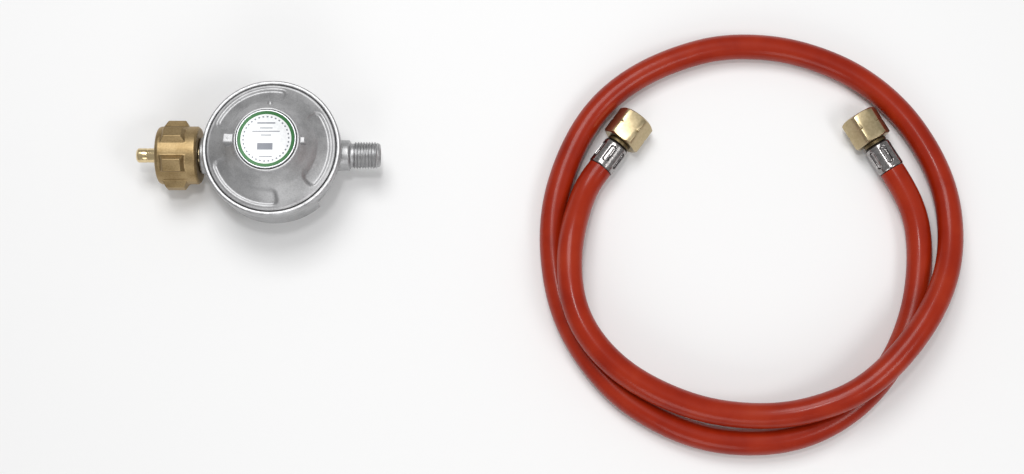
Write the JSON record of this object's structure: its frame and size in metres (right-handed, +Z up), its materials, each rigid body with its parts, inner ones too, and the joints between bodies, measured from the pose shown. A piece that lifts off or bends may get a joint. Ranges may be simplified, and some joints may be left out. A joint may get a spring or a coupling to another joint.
{
  "type": "gas regulator with hose",
  "caption": "Low-pressure propane regulator with a lugged inlet nut and threaded outlet, beside its coiled red hose with swivel hex nuts.",
  "frame": {"origin": "centre of the regulator's flat base, under the cover's axis", "axes": "+X from the inlet to the outlet along the gas line, +Z up through the cover and its label plate, +Y towards the back"},
  "size_m": [0.4002, 0.2077, 0.0495],
  "materials": {
    "cast_zinc": "sand-cast zinc, matt",
    "label_plate": "printed foil, blank, with a green ring",
    "nylon": "moulded",
    "spring_steel": "plain",
    "rubber": "matt",
    "nut_brass": "tumbled, brown",
    "polished_brass": "turned and polished",
    "pale_brass": "satin",
    "plated_steel": "bright zinc plate",
    "red_braid": "satin, with a fine speckled braid"
  },
  "bodies": {
    "root": {"lower_housing": "cast_zinc", "cover": "cast_zinc", "label_plate": "label_plate", "adjuster_ring": "nylon", "main_spring": "spring_steel", "diaphragm": "rubber", "lever_pin": "spring_steel", "inlet_nozzle": "nut_brass", "inlet_spigot": "polished_brass", "inlet_seal": "rubber", "inlet_o_ring": "rubber", "inlet_filter": "spring_steel", "hose": "red_braid", "ferrule_a": "plated_steel", "ferrule_b": "plated_steel", "tail_a": "polished_brass", "tail_b": "polished_brass"},
    "stem": {"diaphragm_stem": "nut_brass", "relief_clip": "spring_steel"},
    "plates": {"spring_plate": "spring_steel", "lower_plate": "spring_steel", "relief_spring": "spring_steel"},
    "lever": {"lever": "spring_steel"},
    "plunger": {"valve_plunger": "nut_brass", "valve_pad": "rubber"},
    "inlet_nut": {"inlet_nut": "nut_brass"},
    "hose_nut_a": {"hose_nut_a": "pale_brass"},
    "hose_nut_b": {"hose_nut_b": "pale_brass"}
  },
  "joints": [
    {"name": "diaphragm_stroke", "type": "slide", "parent": "root", "child": "stem", "axis": [0, 0, 1], "range_m": [0, 0.003], "stiffness_N_per_m": 1000, "springref_m": -0.009, "deforming": ["main_spring", "diaphragm"]},
    {"name": "relief_lift", "type": "slide", "parent": "stem", "child": "plates", "axis": [0, 0, 1], "range_m": [0, 0.001], "stiffness_N_per_m": 2000, "springref_m": -0.003, "deforming": ["relief_spring"]},
    {"name": "lever_pivot", "type": "hinge", "parent": "root", "child": "lever", "pos_m": [-0.018, 0, 0.011], "axis": [0, -1, 0], "range_deg": [0, 9.6]},
    {"name": "plunger_slide", "type": "slide", "parent": "root", "child": "plunger", "axis": [-1, 0, 0], "range_m": [0, 0.001]},
    {"name": "inlet_nut_spin", "type": "hinge", "parent": "root", "child": "inlet_nut", "pos_m": [-0.046, 0, 0.017], "axis": [-1, 0, 0], "continuous": true},
    {"name": "hose_nut_a_spin", "type": "hinge", "parent": "root", "child": "hose_nut_a", "pos_m": [0.1575, -0.0043, 0.0086], "axis": [0.5956, 0.8033, 0], "continuous": true},
    {"name": "hose_nut_b_spin", "type": "hinge", "parent": "root", "child": "hose_nut_b", "pos_m": [0.3002, -0.0052, 0.0086], "axis": [-0.4975, 0.8675, 0], "continuous": true}
  ],
  "couplings": [
    {"joint": "lever_pivot", "follows": "diaphragm_stroke", "rad_per_m": 55.556},
    {"joint": "plunger_slide", "follows": "diaphragm_stroke", "ratio": 0.3333}
  ]
}
